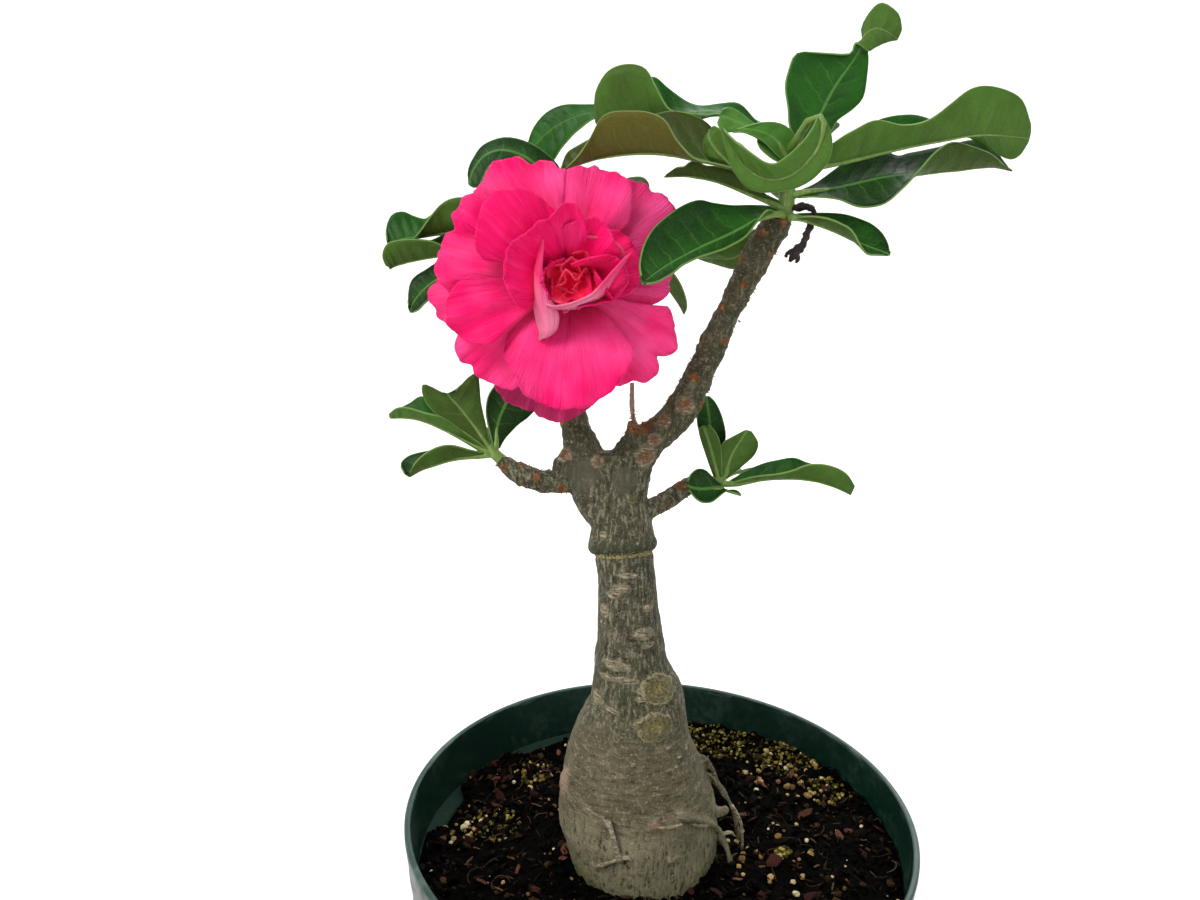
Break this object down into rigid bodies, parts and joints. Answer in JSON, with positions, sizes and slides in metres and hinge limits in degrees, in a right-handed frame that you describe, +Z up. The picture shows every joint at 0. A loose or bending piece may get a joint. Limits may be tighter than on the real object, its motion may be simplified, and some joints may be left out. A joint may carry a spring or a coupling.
{
  "type": "potted desert rose adenium",
  "caption": "Desert rose adenium with a swollen grey caudex, grafted trunk, leafy shoots and a double pink bloom, in a dark green nursery pot.",
  "frame": {"origin": "centre of the pot's underside", "axes": "+Z up the trunk, the bloom faces -Y, the long upper branch leans to +X"},
  "size_m": [0.2255, 0.2, 0.4523],
  "materials": {
    "pot_plastic": "thin blow-moulded plastic, dark green, satin, dusty",
    "soil": "damp potting mix of bark, peat and perlite",
    "bark": "matt grey-brown bark with tan scars",
    "leaf_green": "leathery leaf, glossy above, matt below",
    "petal_pink": "soft matt petal",
    "calyx_green": "matt green",
    "dried_brown": "dry, black-brown, matt",
    "twig_tan": "dry, matt"
  },
  "bodies": {
    "root": {"pot": "pot_plastic", "soil": "soil", "trunk_and_branches": "bark", "shoot_top": "leaf_green", "shoot_behind_bloom": "leaf_green", "shoot_left": "leaf_green", "shoot_right": "leaf_green", "bloom_corolla": "petal_pink", "bloom_calyx": "calyx_green", "dried_stalk": "dried_brown", "dry_twig": "twig_tan"}
  },
  "joints": []
}
